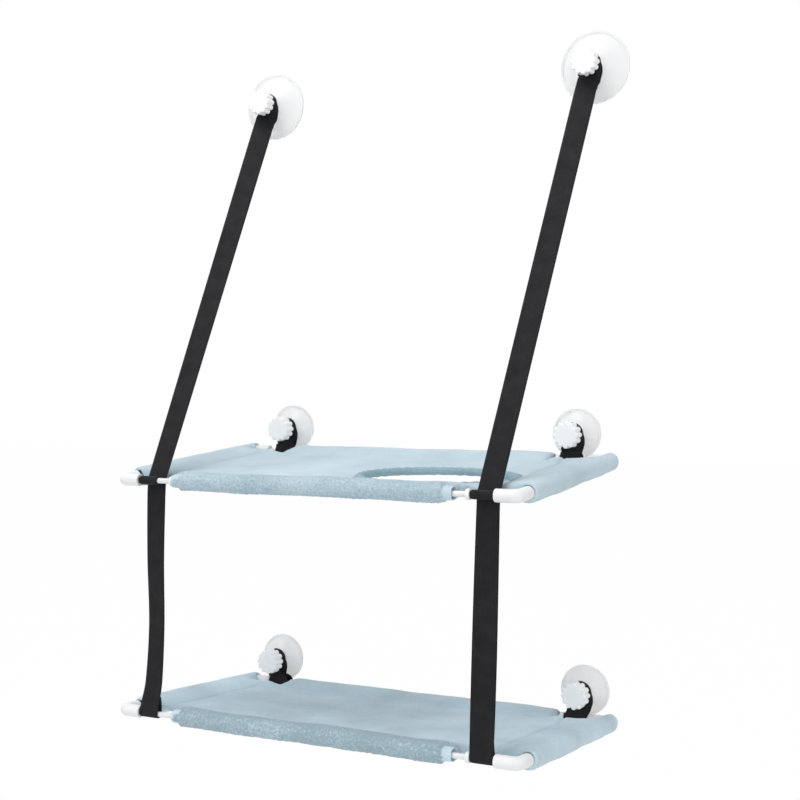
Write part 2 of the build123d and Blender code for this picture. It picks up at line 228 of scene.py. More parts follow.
def bump_into(tree, shader, height, distance, strength=1.0):
    """Feeds a height to the shader's normal."""
    made = node(
        tree, "ShaderNodeBump", {"Height": height, "Distance": distance, "Strength": strength}
    )
    tree.links.new(made.outputs["Normal"], shader.inputs["Normal"])


# Handling marks: broad smudges and fine specks, as a mask and a height.
marks, marks_in, marks_out = new_group(
    "handling_marks",
    {
        "Smudge Scale": ("NodeSocketFloat", 40.0),
        "Speck Scale": ("NodeSocketFloat", 900.0),
        "Speck Share": ("NodeSocketFloat", 0.35),
    },
    {"Mask": "NodeSocketFloat", "Height": "NodeSocketFloat"},
)
marks_place = node(marks, "ShaderNodeTexCoord").outputs["Object"]
smudge = node(
    marks, "ShaderNodeTexNoise",
    {"Vector": marks_place, "Scale": marks_in["Smudge Scale"], "Detail": 3.0, "Roughness": 0.55},
)
speck = node(
    marks, "ShaderNodeTexNoise",
    {"Vector": marks_place, "Scale": marks_in["Speck Scale"], "Detail": 2.0},
)
marks_mixed = node(
    marks, "ShaderNodeMix",
    {"Factor": marks_in["Speck Share"], "A": smudge.outputs["Fac"], "B": speck.outputs["Fac"]},
)
marks.links.new(marks_mixed.outputs["Result"], marks_out["Mask"])
marks.links.new(speck.outputs["Fac"], marks_out["Height"])


def tone_between(tree, mask, low, high, start=0.35, end=0.65):
    """A colour that runs from low to high as the mask goes from start to end."""
    ramp = node(tree, "ShaderNodeValToRGB", {"Fac": mask})
    ramp.color_ramp.elements[0].position = start
    ramp.color_ramp.elements[0].color = low
    ramp.color_ramp.elements[1].position = end
    ramp.color_ramp.elements[1].color = high
    return ramp.outputs["Color"]


def rough_between(tree, mask, low, high):
    """A roughness that runs from low to high with the mask."""
    made = node(
        tree, "ShaderNodeMapRange",
        {"Value": mask, "From Min": 0.3, "From Max": 0.7, "To Min": low, "To Max": high},
    )
    return made.outputs["Result"]


clear_vinyl, tree, shader = finish_of(
    "clear_vinyl", cup_tint, 0.2, Transmission_Weight=0.55, IOR=1.42, Specular_IOR_Level=0.5
)
worn = use_group(tree, marks, {"Smudge Scale": 55.0, "Speck Scale": 700.0})
tree.links.new(tone_between(tree, worn["Mask"], cup_tint, cup_haze), shader.inputs["Base Color"])
tree.links.new(rough_between(tree, worn["Mask"], 0.28, 0.42), shader.inputs["Roughness"])
bump_into(tree, shader, worn["Height"], 0.01 * mm, 0.3)
dress([f"suction_cup_{place}" for place in cup_places], clear_vinyl)


# Studs and knob inserts: a plated steel stud seated in each neck, and the brass
# sleeve of the knob that runs on it. Their threads are cut fine, so they show
# as rings.
thread_pitch = 1.0 * mm
steel_light = (0.66, 0.66, 0.66, 1)
steel_dark = (0.42, 0.42, 0.43, 1)
brass_light = (0.78, 0.62, 0.30, 1)
brass_dark = (0.52, 0.39, 0.17, 1)


def threaded(name, low, high):
    """Bare metal with fine thread rings square to the stud's axis, which lies along Y."""
    made, tree, shader = finish_of(name, high, 0.3, Metallic=1.0)
    worn = use_group(tree, marks, {"Smudge Scale": 220.0, "Speck Scale": 2500.0})
    tree.links.new(tone_between(tree, worn["Mask"], low, high), shader.inputs["Base Color"])
    tree.links.new(rough_between(tree, worn["Mask"], 0.25, 0.45), shader.inputs["Roughness"])
    place = node(tree, "ShaderNodeSeparateXYZ", {0: node(tree, "ShaderNodeTexCoord").outputs["Object"]})
    turns = node(
        tree, "ShaderNodeMath",
        {0: place.outputs["Y"], 1: 2 * math.pi / thread_pitch}, operation="MULTIPLY",
    )
    rings = node(tree, "ShaderNodeMath", {0: turns.outputs[0]}, operation="SINE")
    bump_into(tree, shader, rings.outputs[0], 0.2 * mm)
    return made


dress([f"cup_stud_{place}" for place in cup_places], threaded("plated_steel", steel_dark, steel_light))
dress([f"knob_insert_{place}" for place in cup_places], threaded("turned_brass", brass_dark, brass_light))


# Knobs, elbows and stop rings: injection moulded white plastic with a satin
# skin. Fingers and the rods have dulled it a little in patches.
knob_skin = (0.96, 0.96, 0.965, 1)
knob_dulled = (0.92, 0.92, 0.925, 1)
white_skin = (0.83, 0.835, 0.84, 1)
white_dulled = (0.77, 0.775, 0.78, 1)


def moulded(name, low, high):
    """Moulded plastic between two tones."""
    made, tree, shader = finish_of(name, high, 0.35, Coat_Weight=0.15, Coat_Roughness=0.25)
    worn = use_group(tree, marks, {"Smudge Scale": 70.0, "Speck Scale": 1400.0, "Speck Share": 0.25})
    tree.links.new(tone_between(tree, worn["Mask"], low, high), shader.inputs["Base Color"])
    tree.links.new(rough_between(tree, worn["Mask"], 0.28, 0.46), shader.inputs["Roughness"])
    bump_into(tree, shader, worn["Height"], 0.03 * mm, 0.5)
    return made


decks = ("upper", "lower")
ends = ("front", "rear")
dress([f"cup_knob_{place}" for place in cup_places], moulded("knob_plastic", knob_dulled, knob_skin))
white_plastic = moulded("elbow_plastic", white_dulled, white_skin)
dress([f"{deck}_{end}_{hand}_elbow" for deck in decks for end in ends for hand in hands], white_plastic)
dress([f"{deck}_{end}_stop_rings" for deck in decks for end in ends], white_plastic)


# Rods: 6 mm steel with a baked white coat, cut square and pushed into the elbows. The coat has a few scuffs.
coat_white = (0.76, 0.765, 0.77, 1)
coat_scuffed = (0.60, 0.605, 0.61, 1)

coated_rod, tree, shader = finish_of("coated_rod", coat_white, 0.3, Coat_Weight=0.3, Coat_Roughness=0.15)
worn = use_group(tree, marks, {"Smudge Scale": 120.0, "Speck Scale": 1800.0, "Speck Share": 0.3})
tree.links.new(
    tone_between(tree, worn["Mask"], coat_scuffed, coat_white, 0.30, 0.42), shader.inputs["Base Color"]
)
tree.links.new(rough_between(tree, worn["Mask"], 0.22, 0.38), shader.inputs["Roughness"])
bump_into(tree, shader, worn["Height"], 0.02 * mm, 0.4)
dress([f"{deck}_{end}_rail" for deck in decks for end in ends], coated_rod)
dress([f"{deck}_{hand}_rod" for deck in decks for hand in hands], coated_rod)


# Fleece covers: padded plush with a sleeve sewn round each rod. The side sleeves
# run on over the rear elbows, and the front sleeve's ends are hemmed in. The
# upper cover has an oval hole for the cat.
crown = 10.0 * mm
seam_distance = 35.5 * mm
seam_half = 3.3 * mm
seam_lift = 0.5 * mm
front_half = 170.5 * mm
rear_half = {"upper": 172.6 * mm, "lower": 178.1 * mm}
rear_crown_share = 0.86
side_rod_half = 237 * mm
side_seam_half = 198 * mm
side_start = 25 * mm
side_rear_gap = 34.6 * mm
side_droop = 2.5 * mm
panel_thickness = 6.2 * mm
panel_sag = 3 * mm
hole_centre = (105 * mm, 94 * mm)
hole_half = (94 * mm, 58 * mm)

# Round caps over the rear elbows: they start inside the side sleeve.
corner_reach = 8.6 * mm
corner_radius = 10.6 * mm
corner_drop = 0.8 * mm
corner_overlap = 10 * mm
corner_step = 2 * mm

# Bores for the rods, and the pockets for the elbows, which open to the middle.
bore_radius = 6.3 * mm
bore_centre = 1.6 * mm
rear_bore_radius = 5.1 * mm
rear_bore_centre = 0.6 * mm
bore_overrun = 9 * mm
side_bore_step = 10 * mm
side_bore_end = 42 * mm
pocket_radius = 7.7 * mm
pocket_bend = 8.0 * mm
pocket_stations = (30 * mm, 24 * mm, 18 * mm, 12 * mm)

# Padding: a short cloth simulation swells it between the seams that hold it.
padding_voxel = 4.5 * mm
padding_pressure = 4.0
padding_frames = 18
padding_swell = 1.4 * mm
held_panel = 0.55
held_sleeve = 0.30
held_near = 3 * mm
held_far = 9 * mm
held_corner = 222 * mm
held_corner_fade = 4 * mm

# Finished shape: seams, hems, waves and the fullness beside the rear notches.
cloth_voxel = 1.7 * mm
side_seam_pull = 0.8
side_seam_reach = 1.9 * mm
end_seam_pull = 0.25
end_seam_reach = 2.6 * mm
hem_width = 13.5 * mm
hem_share = 0.25
hem_step = 1.2 * mm
hem_fade = (2 * mm, 18 * mm)
hem_beyond = 4 * mm
wave_height = 0.8 * mm
wave_height_sleeve = 0.35 * mm
notch_lift = 6.0 * mm
notch_middle = (192 * mm, 6 * mm)
notch_spread = (16 * mm, 13 * mm)
pile_size = 2.4 * mm
pile_height = 2.1 * mm
pile_share_flat = 0.22
pile_fade = (6 * mm, 20 * mm)
bore_lining = 7.5 * mm
pocket_lining = 8.5 * mm


def mesh_piece(name, points, faces):
    """A new object from points and faces, with its normals turned outwards."""
    mesh = bpy.data.meshes.new(name)
    mesh.from_pydata([tuple(p) for p in points], [], faces)
    shape = bmesh.new()
    shape.from_mesh(mesh)
    bmesh.ops.recalc_face_normals(shape, faces=shape.faces)
    shape.to_mesh(mesh)
    shape.free()
    made = bpy.data.objects.new(name, mesh)
    bpy.context.scene.collection.objects.link(made)
    return made


def settled(piece):
    """Replaces a piece's mesh by the one its modifiers make, and drops them."""
    graph = bpy.context.evaluated_depsgraph_get()
    mesh = bpy.data.meshes.new_from_object(piece.evaluated_get(graph))
    piece.modifiers.clear()
    piece.data = mesh
    return piece


def joined(name, pieces):
    """One object with the meshes of several, which are removed."""
    shape = bmesh.new()
    for piece in pieces:
        shape.from_mesh(piece.data)
        bpy.data.objects.remove(piece)
    mesh = bpy.data.meshes.new(name)
    shape.to_mesh(mesh)
    shape.free()
    made = bpy.data.objects.new(name, mesh)
    bpy.context.scene.collection.objects.link(made)
    return made


def points_of(piece):
    """The mesh's points as rows of numbers."""
    rows = np.empty(len(piece.data.vertices) * 3)
    piece.data.vertices.foreach_get("co", rows)
    return rows.reshape(-1, 3)


def set_points(piece, rows):
    """Puts the mesh's points back."""
    piece.data.vertices.foreach_set("co", rows.reshape(-1))
    piece.data.update()


def remeshed(piece, size, rounds):
    """The piece's skin in even cells of a size, smoothed so many times."""
    remesh = piece.modifiers.new("skin", "REMESH")
    remesh.mode = "VOXEL"
    remesh.voxel_size = size
    remesh.use_smooth_shade = True
    soften = piece.modifiers.new("soften", "SMOOTH")
    soften.factor = 0.5
    soften.iterations = rounds
    return settled(piece)


def ring_faces(rings, count, closed=False):
    """Faces between rings of points, each of count points."""
    spans = rings if closed else rings - 1
    return [
        (
            i * count + j,
            i * count + (j + 1) % count,
            (i + 1) % rings * count + (j + 1) % count,
            (i + 1) % rings * count + j,
        )
        for i in range(spans)
        for j in range(count)
    ]


def capped(name, rings):
    """A closed piece through rings of points, with both ends filled."""
    count = len(rings[0])
    faces = ring_faces(len(rings), count)
    faces += [tuple(range(count)), tuple((len(rings) - 1) * count + j for j in range(count))]
    return mesh_piece(name, [p for ring in rings for p in ring], faces)


def sleeve_outline(share, droop):
    """A sleeve's section: round over the rod, plump to its seam. It may hang down by droop."""
    made = []
    for k in range(20):
        turn = math.pi * (0.5 + k / 20)
        rise = crown * share * math.sin(turn)
        made.append((crown * math.cos(turn), rise - droop * max(0.0, -math.sin(turn)) ** 2))
    low = crown * share + droop
    for k in range(15):
        part = k / 15
        made.append((part * seam_distance, (low - seam_half) * part**1.6 - low))
    for k in range(6):
        turn = math.pi * (k / 6 - 0.5)
        made.append((seam_distance + seam_half * math.cos(turn), seam_half * math.sin(turn)))
    for k in range(15):
        part = 1 - k / 15
        made.append((part * seam_distance, crown * share - (crown * share - seam_half) * part**2.4))
    return made


def sleeve(name, start, end, place, share=1.0, droop=0.0):
    """A filled sleeve from start to end along its rod. place turns its own points into the deck's."""
    outline = sleeve_outline(share, droop)
    rings = []
    for k in range(61):
        run = start + (end - start) * k / 60
        plump = 1 + 0.022 * math.sin(run * 61 + start * 40) + 0.015 * math.sin(run * 143)
        rings.append([place(s * plump, h * plump, run) for s, h in outline])
    return capped(name, rings)


def tube(name, spine):
    """A closed round tube: spine holds a place and a radius for each ring, on a level path."""
    places = np.array([spot[0] for spot in spine], float)
    ways = np.gradient(places, axis=0)
    ways /= np.linalg.norm(ways, axis=1)[:, None]
    rings = []
    for (x, run, height), (way_x, way_run, _), (_, radius) in zip(places, ways, spine):
        rings.append([
            (
                x - way_run * radius * math.cos(turn),
                run + way_x * radius * math.cos(turn),
                height + radius * math.sin(turn),
            )
            for turn in (2 * math.pi * k / 32 for k in range(32))
        ])
    return capped(name, rings)


def panel_slab(name, end):
    """The panel between the seams, with its sag."""
    columns = 56
    lines = 32
    points = []
    for level in (0, -panel_thickness):
        for i in range(columns + 1):
            x = side_seam_half * (2 * i / columns - 1)
            for j in range(lines + 1):
                run = side_start + (end - side_start) * j / lines
                across_share = 1 - (x / side_seam_half) ** 2
                along_share = 1 - ((run - (side_start + end) / 2) / ((end - side_start) / 2)) ** 2
                sag = panel_sag * across_share * (0.55 + 0.45 * along_share)
                points.append((x, run, seam_lift + panel_thickness / 2 + level - sag))
    row = lines + 1
    sheet = (columns + 1) * row
    faces = []
    for i in range(columns):
        for j in range(lines):
            corner = i * row + j
            quad = (corner, corner + 1, corner + row + 1, corner + row)
            faces.append(quad)
            faces.append(tuple(sheet + p for p in quad))
    border = [i * row for i in range(columns + 1)]
    border += [columns * row + j for j in range(1, lines + 1)]
    border += [i * row + lines for i in range(columns - 1, -1, -1)]
    border += [j for j in range(lines - 1, 0, -1)]
    for here, there in zip(border, border[1:] + border[:1]):
        faces.append((here, there, sheet + there, sheet + here))
    return mesh_piece(name, points, faces)


def oval(name, centre, half, height, count=96):
    """An oval prism that cuts the hole."""
    return capped(name, [
        [
            (centre[0] + half[0] * math.cos(turn), centre[1] + half[1] * math.sin(turn), level)
            for turn in (2 * math.pi * k / count for k in range(count))
        ]
        for level in (-height, height)
    ])


def weigh(piece, group_name, weights, steps=20):
    """Stores a share for each point in a vertex group."""
    group = piece.vertex_groups.new(name=group_name)
    level = np.clip((weights * steps).round().astype(int), 0, steps)
    for step in range(1, steps + 1):
        chosen = np.nonzero(level == step)[0]
        if len(chosen):
            group.add([int(i) for i in chosen], step / steps, "REPLACE")


def swollen(piece, held):
    """Plumps the padding with a short cloth simulation. held says how firmly each point stays."""
    start = points_of(piece)
    weigh(piece, "held", held)
    cloth = piece.modifiers.new("padding", "CLOTH")
    cloth.settings.quality = 4
    cloth.settings.mass = 0.3
    cloth.settings.tension_stiffness = 15
    cloth.settings.compression_stiffness = 8
    cloth.settings.bending_stiffness = 0.6
    cloth.settings.use_pressure = True
    cloth.settings.uniform_pressure_force = padding_pressure
    cloth.settings.effector_weights.gravity = 0
    cloth.settings.vertex_group_mass = "held"
    cloth.collision_settings.use_collision = False
    cloth.point_cache.frame_end = padding_frames
    scene = bpy.context.scene
    for frame_number in range(1, padding_frames + 1):
        scene.frame_set(frame_number)
    settled(piece)
    scene.frame_set(1)
    moved = points_of(piece) - start
    far = np.linalg.norm(moved, axis=1)
    keep = np.minimum(1, padding_swell / np.maximum(far, 1e-9))
    set_points(piece, start + moved * keep[:, None])
    piece.vertex_groups.clear()
    return piece


def deck_axes(deck):
    """A deck's own axes, from the middle of its front rail, and the distance between its rails."""
    low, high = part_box(f"{deck}_front_rail")
    front = (low + high) / 2
    low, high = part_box(f"{deck}_rear_rail")
    rear = (low + high) / 2
    along = (rear - front).normalized()
    across = Vector((1, 0, 0))
    axes = Matrix((across, along, across.cross(along))).transposed().to_4x4()
    axes.translation = front
    return axes, (rear - front).length


# Pile: clumps of plush, as a height and as a tone for the colour. Nap says how rough it stands, from none in
# the bores to one on the front sleeve. The tone is the pile's own mottling together with painted shade
# between the clumps, stronger as the nap rises, and the shade input is painted shade that darkens the colour
# by so much where the nap is one, as on the front sleeve.
brushed_scale = 16.0
brushed_share = 0.28
fibre_share = 0.35
pile_tone_start = 0.30
pile_tone_end = 0.58
pile_bump = 1.8 * mm
pile, pile_in, pile_out = new_group(
    "plush_pile",
    {
        "Clump Scale": ("NodeSocketFloat", 400.0),
        "Fibre Scale": ("NodeSocketFloat", 1100.0),
        "Nap": ("NodeSocketFloat", 0.5),
        "Painted Shade": ("NodeSocketFloat", 0.06),
    },
    {"Height": "NodeSocketFloat", "Tone": "NodeSocketFloat"},
)


def maths(tree, operation, first, second=None):
    """The result of a Math node."""
    inputs = {0: first} if second is None else {0: first, 1: second}
    return node(tree, "ShaderNodeMath", inputs, operation=operation).outputs[0]


pile_place = node(pile, "ShaderNodeTexCoord").outputs["Object"]
clump = node(
    pile, "ShaderNodeTexNoise",
    {
        "Vector": pile_place, "Scale": pile_in["Clump Scale"],
        "Detail": 3.0, "Roughness": 0.6, "Distortion": 0.8,
    },
)
fibre = node(
    pile, "ShaderNodeTexNoise",
    {"Vector": pile_place, "Scale": pile_in["Fibre Scale"], "Detail": 2.0, "Distortion": 1.2},
)
brushed = node(pile, "ShaderNodeTexNoise", {"Vector": pile_place, "Scale": brushed_scale, "Detail": 3.0})
pile_rise = node(
    pile, "ShaderNodeMix",
    {"Factor": fibre_share, "A": clump.outputs["Fac"], "B": fibre.outputs["Fac"]},
).outputs["Result"]
clump_part = maths(pile, "MULTIPLY", maths(pile, "SUBTRACT", pile_rise, 0.5), pile_in["Nap"])
brushed_part = maths(pile, "MULTIPLY", maths(pile, "SUBTRACT", brushed.outputs["Fac"], 0.5), brushed_share)
# Painted shade: the colour darkens where the nap stands high, most on the front sleeve.
painted_nap_shade = maths(pile, "MULTIPLY", pile_in["Nap"], pile_in["Painted Shade"])
even_tone = maths(pile, "ADD", maths(pile, "ADD", clump_part, brushed_part), 0.5)
pile.links.new(pile_rise, pile_out["Height"])
pile.links.new(maths(pile, "SUBTRACT", even_tone, painted_nap_shade), pile_out["Tone"])


def plush(name, low, high, painted_shade):
    """Plush fleece: soft clumps of pile with their own mottling, painted lighter on their tips and painted
    darker between them; the last argument is painted shade, deepest where the nap stands high.
    """
    made, tree, shader = finish_of(
        name, high, 0.95, Sheen_Weight=0.35, Sheen_Roughness=0.5, Specular_IOR_Level=0.15
    )
    nap = node(tree, "ShaderNodeAttribute", attribute_name="nap").outputs["Fac"]
    nap_group = use_group(tree, pile, {"Nap": nap, "Painted Shade": painted_shade})
    nap_bump = maths(tree, "MULTIPLY", nap_group["Height"], maths(tree, "ADD", nap, 0.35))
    nap_tone = tone_between(tree, nap_group["Tone"], low, high, pile_tone_start, pile_tone_end)
    tree.links.new(nap_tone, shader.inputs["Base Color"])
    tree.links.new(rough_between(tree, nap_group["Tone"], 0.98, 0.88), shader.inputs["Roughness"])
    bump_into(tree, shader, nap_bump, pile_bump, 0.8)
    return made


# The covers are one fleece. Each deck's low and high tones are painted light for how that deck is lit, the
# lower one under the upper, and the last number is the painted shade on its front sleeve.
fleece_tones_lit_per_deck = {
    "upper": ((0.32, 0.455, 0.535, 1), (0.59, 0.72, 0.79, 1), 0.067),
    "lower": ((0.31, 0.425, 0.49, 1), (0.68, 0.85, 0.95, 1), 0.16),
}
pile_cloud = bpy.data.textures.new("pile_cloud", "CLOUDS")
pile_cloud.noise_scale = pile_size
pile_cloud.noise_depth = 2


def with_pile(piece, height, share):
    """Raises the plush's clumps by a share for each point, and keeps the share for the colour."""
    weigh(piece, "pile", share)
    raised = piece.modifiers.new("pile", "DISPLACE")
    raised.texture = pile_cloud
    raised.texture_coords = "LOCAL"
    raised.strength = height
    raised.mid_level = 0.5
    raised.vertex_group = "pile"
    settled(piece)
    nap = piece.data.attributes.new("nap", "FLOAT", "POINT")
    nap.data.foreach_set("value", share.astype(np.float32))
    return piece


def step_between(value, low, high):
    """Zero below low, one above high and smooth between them."""
    part = np.clip((value - low) / (high - low), 0, 1)
    return part * part * (3 - 2 * part)


for deck in decks:
    # The closed pieces of the cover, joined under one skin.
    axes, depth = deck_axes(deck)
    side_end = depth - side_rear_gap
    parts = [
        panel_slab("panel", side_end),
        sleeve("front_sleeve", -front_half, front_half, lambda s, h, run: (run, s, h)),
        sleeve(
            "rear_sleeve", -rear_half[deck], rear_half[deck],
            lambda s, h, run: (run, depth - s, h), rear_crown_share,
        ),
    ]
    for hand, side in hands.items():
        parts.append(
            sleeve(
                f"{hand}_sleeve", side_start, side_end,
                lambda s, h, run: (side * (side_rod_half - s), run, h), 1.0, side_droop,
            )
        )
        axis_x = side * side_rod_half
        corner = [
            ((axis_x, side_end - corner_overlap + k * corner_step, -corner_drop), corner_radius)
            for k in range(20)
        ]
        for part in (0, 0.2, 0.4, 0.6, 0.8, 1):
            dome_run = depth + corner_reach * (1 - 0.8 * (1 - part) ** 2)
            corner.append(((axis_x, dome_run, -corner_drop), corner_radius * (1 - 0.42 * part**2.2)))
        parts.append(tube(f"{hand}_corner", corner))
    cover = joined(f"{deck}_fleece_cover", parts)
    remeshed(cover, padding_voxel, 2)

    # The seams hold the padding fast, the panel holds it half, and so do the caps.
    rows_of = points_of(cover)
    x, run, height = rows_of[:, 0], rows_of[:, 1], rows_of[:, 2]
    from_seam = np.abs(np.abs(x) - side_seam_half)
    from_end_seam = np.minimum(np.abs(run - seam_distance), np.abs(run - depth + seam_distance))
    in_panel = (np.abs(x) < side_seam_half) & (run > seam_distance) & (run < depth - seam_distance)
    held = np.where(in_panel, held_panel, held_sleeve)
    held = np.maximum(held, 1 - step_between(from_seam, held_near, held_far))
    held_ends = 1 - step_between(from_end_seam, held_near, held_far)
    held = np.maximum(held, np.where(np.abs(x) < side_seam_half, held_ends, 0))
    in_corner = step_between(np.abs(x), held_corner, held_corner + held_corner_fade)
    in_corner = in_corner * step_between(run, side_end - held_corner_fade, side_end)
    held = np.maximum(held, in_corner)
    swollen(cover, held)

    # Everything the frame runs through, and the hole, is cut out in one go.
    cutters = []
    for name, middle, half, radius in (
        ("front_bore", bore_centre, front_half, bore_radius),
        ("rear_bore", depth - rear_bore_centre, rear_half[deck], rear_bore_radius),
    ):
        half = half + bore_overrun
        cutters.append(tube(name, [((share * half, middle, 0), radius) for share in (-1, -0.5, 0, 0.5, 1)]))
    for hand, side in hands.items():
        axis_x = side * side_rod_half
        bore_x = axis_x - side * bore_centre
        bore_start = side_start - bore_overrun
        spine = [((bore_x, bore_start + k * side_bore_step, 0), bore_radius) for k in range(22)]
        spine = [spot for spot in spine if spot[0][1] < depth - side_bore_end]
        spine += [((axis_x, depth - back, 0), pocket_radius) for back in pocket_stations]
        for k in range(7):
            turn = math.pi / 2 * k / 6
            spot = (
                axis_x - side * pocket_bend * (1 - math.cos(turn)),
                depth - pocket_bend * (1 - math.sin(turn)), 0,
            )
            spine.append((spot, pocket_radius))
        spine += [((axis_x - side * inwards, depth, 0), pocket_radius) for inwards in pocket_stations[::-1]]
        cutters.append(tube(f"{hand}_bore", spine))
    if deck == "upper":
        cutters.append(oval("hole_cutter", hole_centre, hole_half, 3 * crown))
    cutter = joined("cutter", cutters)
    cut = cover.modifiers.new("cut", "BOOLEAN")
    cut.object = cutter
    cut.operation = "DIFFERENCE"
    cut.solver = "EXACT"
    settled(cover)
    bpy.data.objects.remove(cutter)
    remeshed(cover, cloth_voxel, 4)

    # Seams are pulled in, hems drawn to the rod, and the cloth waves a little.
    rows_of = points_of(cover)
    x, run, height = rows_of[:, 0], rows_of[:, 1], rows_of[:, 2]
    seam_pull = np.zeros(len(rows_of))
    for line in (side_seam_half, -side_seam_half):
        pulled = side_seam_pull * np.exp(-(((x - line) / side_seam_reach) ** 2))
        seam_pull = np.maximum(seam_pull, pulled)
    for line in (seam_distance, depth - seam_distance):
        pulled = end_seam_pull * np.exp(-(((run - line) / end_seam_reach) ** 2))
        seam_pull = np.maximum(seam_pull, np.where(np.abs(x) < side_seam_half, pulled, 0))
    height = seam_lift + (height - seam_lift) * (1 - seam_pull)
    hem_start = front_half - hem_width
    hem = step_between(np.abs(x), hem_start - hem_step, hem_start + hem_step)
    hem = hem * (1 - step_between(run, *hem_fade)) * (np.abs(x) < front_half + hem_beyond)
    spoke_run = run - bore_centre
    spoke = np.maximum(np.hypot(spoke_run, height), 1e-6)
    drawn = np.where(spoke > bore_radius, bore_radius + (spoke - bore_radius) * hem_share, spoke) / spoke
    drawn = 1 + (drawn - 1) * hem
    run = bore_centre + spoke_run * drawn
    height = height * drawn
    inside = (np.abs(x) < side_rod_half - crown) & (run > 0) & (run < depth)
    waves = (
        0.55 * np.sin(x * 34 + run * 12 + 0.7)
        + 0.45 * np.sin(run * 55 - x * 17 + 2.1)
        + 0.30 * np.sin(x * 83 + run * 41)
    )
    height = height + waves * np.where(inside, wave_height, wave_height_sleeve)
    across_notch = (np.abs(x) - notch_middle[0]) / notch_spread[0]
    along_notch = (run - side_end + notch_middle[1]) / notch_spread[1]
    fullness = notch_lift * np.exp(-(across_notch**2 + along_notch**2))
    height = height + np.where(height > 0, fullness, 0)
    set_points(cover, np.column_stack([x, run, height]))

    # The pile stands high on the front sleeve, low on the panel, not in the bores. The same share sets how
    # much painted shade the colour takes.
    spoke = np.minimum(np.hypot(run - bore_centre, height), np.hypot(run - depth, height))
    side_spoke = np.hypot(np.abs(x) - side_rod_half, height)
    in_bore = (spoke < bore_lining) | (side_spoke < pocket_lining)
    nap = pile_share_flat + (1 - pile_share_flat) * (1 - step_between(run, *pile_fade))
    nap = np.where(in_bore, 0, nap)
    cover.data.transform(axes)
    with_pile(cover, pile_height, nap)
    cover.data.materials.clear()
    cover.data.materials.append(plush(f"{deck}_plush", *fleece_tones_lit_per_deck[deck]))
    cover.data.shade_smooth()
    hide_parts(f"{deck}_cover")
    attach(cover, f"{deck}_deck")


# Binding of the hole: the same plush rolled into a soft welt and sewn all the
# way round the oval. It stands a little proud of the panel, above and below.
welt_radius = 3.9 * mm
welt_tall = 1.12
welt_half = (90 * mm, 54 * mm)
# The welt is the covers' fleece, with its tones painted darker as shade inside the hole.
binding_tones_shaded = ((0.17, 0.29, 0.35, 1), (0.32, 0.475, 0.55, 1), 0.04)

axes, depth = deck_axes("upper")
welt_points = []
for k in range(260):
    turn = 2 * math.pi * k / 260
    centre_x = hole_centre[0] + welt_half[0] * math.cos(turn)
    centre_run = hole_centre[1] + welt_half[1] * math.sin(turn)
    outward = Vector((welt_half[1] * math.cos(turn), welt_half[0] * math.sin(turn))).normalized()
    pucker = 1 + 0.05 * math.sin(37 * turn) + 0.04 * math.sin(53 * turn + 1)
    for j in range(20):
        roll = 2 * math.pi * j / 20
        reach = outward * (welt_radius * pucker * math.cos(roll))
        rise = welt_radius * welt_tall * pucker * math.sin(roll) - 0.4 * mm
        welt_points.append((centre_x + reach.x, centre_run + reach.y, rise))
binding = mesh_piece("hole_welt", welt_points, ring_faces(260, 20, closed=True))
binding.data.transform(axes)
with_pile(binding, 0.5 * pile_height, np.full(len(binding.data.vertices), 0.5))
binding.data.materials.append(plush("shaded_welt_plush", *binding_tones_shaded))
binding.data.shade_smooth()
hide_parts("upper_hole_binding")
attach(binding, "upper_deck")


# Front straps: black 25 mm webbing. Each goes round a top cup's neck, where it
# is gathered, and down behind the upper front rail, and its lower run goes
# round the lower rail and is sewn to itself behind.
web_half = 12.5 * mm
web_half_thick = 0.7 * mm
neck_loop = 11.9 * mm
flare_share = 0.22
flare_setback = 0.6 * mm
gather_half = 4.4 * mm
gather_thick = 1.0 * mm
gather_foot = 17.4 * mm
rail_wrap = 4.0 * mm
junction_setback = 13 * mm
neck_setback = 4.75 * mm
half_at_neck = 12.3 * mm
half_of_lap = 12.4 * mm
lap_share = 0.94
drop_bows = {"left": 10.5 * mm, "right": 1.0 * mm}
tab_legs = ((11.9 * mm, 0.8 * mm), (8.0 * mm, 0.85 * mm), (4.6 * mm, 1.6 * mm))
web_dark = (0.010, 0.010, 0.012, 1)
web_light = (0.021, 0.021, 0.024, 1)


def smooth_path(keys, steps):
    """Rows on a smooth curve through the keys, with so many steps between each pair."""
    rows_in = np.array(keys, float)
    padded = np.vstack([2 * rows_in[0] - rows_in[1], rows_in, 2 * rows_in[-1] - rows_in[-2]])
    made = []
    for i in range(len(rows_in) - 1):
        a, b, c, d = padded[i : i + 4]
        for k in range(steps):
            t = k / steps
            curve = 2 * b + (c - a) * t + (2 * a - 5 * b + 4 * c - d) * t**2
            made.append(0.5 * (curve + (3 * b - a - 3 * c + d) * t**3))
    made.append(rows_in[-1])
    return np.array(made)


